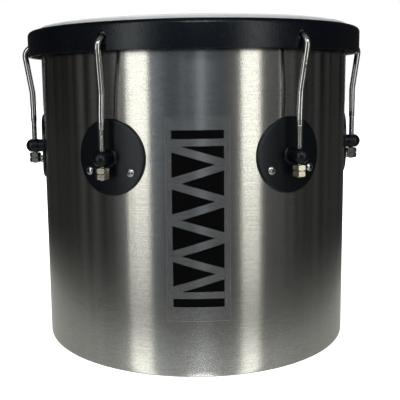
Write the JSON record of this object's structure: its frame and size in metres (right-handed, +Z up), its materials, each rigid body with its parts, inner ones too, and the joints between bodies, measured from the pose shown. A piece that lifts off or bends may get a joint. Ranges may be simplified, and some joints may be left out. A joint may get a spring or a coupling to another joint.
{
  "type": "hand repique drum",
  "caption": "Single-headed hand drum: smooth brushed metal shell, black counterhoop, milky film head, hook rods through round bolted lugs, each with a tuning nut and a lock nut.",
  "frame": {"origin": "centre of the open bottom rim, on the surface the drum stands on", "axes": "+Z up along the drum's axis, -Y the front with the decal, +X to the right seen from the front"},
  "size_m": [0.3424, 0.3246, 0.3013],
  "materials": {
    "shell": "brushed round the drum",
    "film": "milky satin film",
    "flesh_hoop": "plain",
    "counterhoop": "black fine pebbled coating",
    "decal": null,
    "lug": "satin moulded",
    "hook": "bright chrome",
    "hook_nut": "yellowish nickel",
    "screw": "bright zinc"
  },
  "bodies": {
    "drum": {"shell": "shell", "drumhead": "film", "decal": "decal", "lug_1": "lug", "lug_1_screw_left": "screw", "lug_1_screw_nut_left": "screw", "lug_1_screw_right": "screw", "lug_1_screw_nut_right": "screw", "lug_2": "lug", "lug_2_screw_left": "screw", "lug_2_screw_nut_left": "screw", "lug_2_screw_right": "screw", "lug_2_screw_nut_right": "screw", "lug_3": "lug", "lug_3_screw_left": "screw", "lug_3_screw_nut_left": "screw", "lug_3_screw_right": "screw", "lug_3_screw_nut_right": "screw", "lug_4": "lug", "lug_4_screw_left": "screw", "lug_4_screw_nut_left": "screw", "lug_4_screw_right": "screw", "lug_4_screw_nut_right": "screw", "lug_5": "lug", "lug_5_screw_left": "screw", "lug_5_screw_nut_left": "screw", "lug_5_screw_right": "screw", "lug_5_screw_nut_right": "screw", "lug_6": "lug", "lug_6_screw_left": "screw", "lug_6_screw_nut_left": "screw", "lug_6_screw_right": "screw", "lug_6_screw_nut_right": "screw"},
    "hoop": {"counterhoop": "counterhoop", "flesh_hoop": "flesh_hoop"},
    "hook_body_1": {"hook_1": "hook"},
    "tension_nut_body_1": {"tension_nut_1": "hook_nut"},
    "lock_nut_body_1": {"lock_nut_1": "hook_nut"},
    "hook_body_2": {"hook_2": "hook"},
    "tension_nut_body_2": {"tension_nut_2": "hook_nut"},
    "lock_nut_body_2": {"lock_nut_2": "hook_nut"},
    "hook_body_3": {"hook_3": "hook"},
    "tension_nut_body_3": {"tension_nut_3": "hook_nut"},
    "lock_nut_body_3": {"lock_nut_3": "hook_nut"},
    "hook_body_4": {"hook_4": "hook"},
    "tension_nut_body_4": {"tension_nut_4": "hook_nut"},
    "lock_nut_body_4": {"lock_nut_4": "hook_nut"},
    "hook_body_5": {"hook_5": "hook"},
    "tension_nut_body_5": {"tension_nut_5": "hook_nut"},
    "lock_nut_body_5": {"lock_nut_5": "hook_nut"},
    "hook_body_6": {"hook_6": "hook"},
    "tension_nut_body_6": {"tension_nut_6": "hook_nut"},
    "lock_nut_body_6": {"lock_nut_6": "hook_nut"}
  },
  "joints": [
    {"name": "hoop_travel", "type": "slide", "parent": "drum", "child": "hoop", "axis": [0, 0, 1], "range_m": [-0.001, 0.004]},
    {"name": "hook_1_slide", "type": "slide", "parent": "drum", "child": "hook_body_1", "axis": [0, 0, 1], "range_m": [-0.0011, 0.0041]},
    {"name": "tension_nut_1_spin", "type": "hinge", "parent": "drum", "child": "tension_nut_body_1", "pos_m": [-0.0812, -0.14064, 0.1788], "axis": [0, 0, 1], "range_deg": [-1450, 370]},
    {"name": "lock_nut_1_spin", "type": "hinge", "parent": "drum", "child": "lock_nut_body_1", "pos_m": [-0.0812, -0.14064, 0.1738], "axis": [0, 0, 1], "range_deg": [-1450, 370]},
    {"name": "hook_2_slide", "type": "slide", "parent": "drum", "child": "hook_body_2", "axis": [0, 0, 1], "range_m": [-0.0011, 0.0041]},
    {"name": "tension_nut_2_spin", "type": "hinge", "parent": "drum", "child": "tension_nut_body_2", "pos_m": [0.0812, -0.14064, 0.1788], "axis": [0, 0, 1], "range_deg": [-1450, 370]},
    {"name": "lock_nut_2_spin", "type": "hinge", "parent": "drum", "child": "lock_nut_body_2", "pos_m": [0.0812, -0.14064, 0.1738], "axis": [0, 0, 1], "range_deg": [-1450, 370]},
    {"name": "hook_3_slide", "type": "slide", "parent": "drum", "child": "hook_body_3", "axis": [0, 0, 1], "range_m": [-0.0011, 0.0041]},
    {"name": "tension_nut_3_spin", "type": "hinge", "parent": "drum", "child": "tension_nut_body_3", "pos_m": [0.1624, 0, 0.1788], "axis": [0, 0, 1], "range_deg": [-1450, 370]},
    {"name": "lock_nut_3_spin", "type": "hinge", "parent": "drum", "child": "lock_nut_body_3", "pos_m": [0.1624, 0, 0.1738], "axis": [0, 0, 1], "range_deg": [-1450, 370]},
    {"name": "hook_4_slide", "type": "slide", "parent": "drum", "child": "hook_body_4", "axis": [0, 0, 1], "range_m": [-0.0011, 0.0041]},
    {"name": "tension_nut_4_spin", "type": "hinge", "parent": "drum", "child": "tension_nut_body_4", "pos_m": [0.0812, 0.14064, 0.1788], "axis": [0, 0, 1], "range_deg": [-1450, 370]},
    {"name": "lock_nut_4_spin", "type": "hinge", "parent": "drum", "child": "lock_nut_body_4", "pos_m": [0.0812, 0.14064, 0.1738], "axis": [0, 0, 1], "range_deg": [-1450, 370]},
    {"name": "hook_5_slide", "type": "slide", "parent": "drum", "child": "hook_body_5", "axis": [0, 0, 1], "range_m": [-0.0011, 0.0041]},
    {"name": "tension_nut_5_spin", "type": "hinge", "parent": "drum", "child": "tension_nut_body_5", "pos_m": [-0.0812, 0.14064, 0.1788], "axis": [0, 0, 1], "range_deg": [-1450, 370]},
    {"name": "lock_nut_5_spin", "type": "hinge", "parent": "drum", "child": "lock_nut_body_5", "pos_m": [-0.0812, 0.14064, 0.1738], "axis": [0, 0, 1], "range_deg": [-1450, 370]},
    {"name": "hook_6_slide", "type": "slide", "parent": "drum", "child": "hook_body_6", "axis": [0, 0, 1], "range_m": [-0.0011, 0.0041]},
    {"name": "tension_nut_6_spin", "type": "hinge", "parent": "drum", "child": "tension_nut_body_6", "pos_m": [-0.1624, 0, 0.1788], "axis": [0, 0, 1], "range_deg": [-1450, 370]},
    {"name": "lock_nut_6_spin", "type": "hinge", "parent": "drum", "child": "lock_nut_body_6", "pos_m": [-0.1624, 0, 0.1738], "axis": [0, 0, 1], "range_deg": [-1450, 370]}
  ],
  "couplings": [
    {"joint": "hook_1_slide", "follows": "hoop_travel", "ratio": 1},
    {"joint": "tension_nut_1_spin", "follows": "hoop_travel", "rad_per_m": -6283.2},
    {"joint": "lock_nut_1_spin", "follows": "hoop_travel", "rad_per_m": -6283.2},
    {"joint": "hook_2_slide", "follows": "hoop_travel", "ratio": 1},
    {"joint": "tension_nut_2_spin", "follows": "hoop_travel", "rad_per_m": -6283.2},
    {"joint": "lock_nut_2_spin", "follows": "hoop_travel", "rad_per_m": -6283.2},
    {"joint": "hook_3_slide", "follows": "hoop_travel", "ratio": 1},
    {"joint": "tension_nut_3_spin", "follows": "hoop_travel", "rad_per_m": -6283.2},
    {"joint": "lock_nut_3_spin", "follows": "hoop_travel", "rad_per_m": -6283.2},
    {"joint": "hook_4_slide", "follows": "hoop_travel", "ratio": 1},
    {"joint": "tension_nut_4_spin", "follows": "hoop_travel", "rad_per_m": -6283.2},
    {"joint": "lock_nut_4_spin", "follows": "hoop_travel", "rad_per_m": -6283.2},
    {"joint": "hook_5_slide", "follows": "hoop_travel", "ratio": 1},
    {"joint": "tension_nut_5_spin", "follows": "hoop_travel", "rad_per_m": -6283.2},
    {"joint": "lock_nut_5_spin", "follows": "hoop_travel", "rad_per_m": -6283.2},
    {"joint": "hook_6_slide", "follows": "hoop_travel", "ratio": 1},
    {"joint": "tension_nut_6_spin", "follows": "hoop_travel", "rad_per_m": -6283.2},
    {"joint": "lock_nut_6_spin", "follows": "hoop_travel", "rad_per_m": -6283.2}
  ]
}
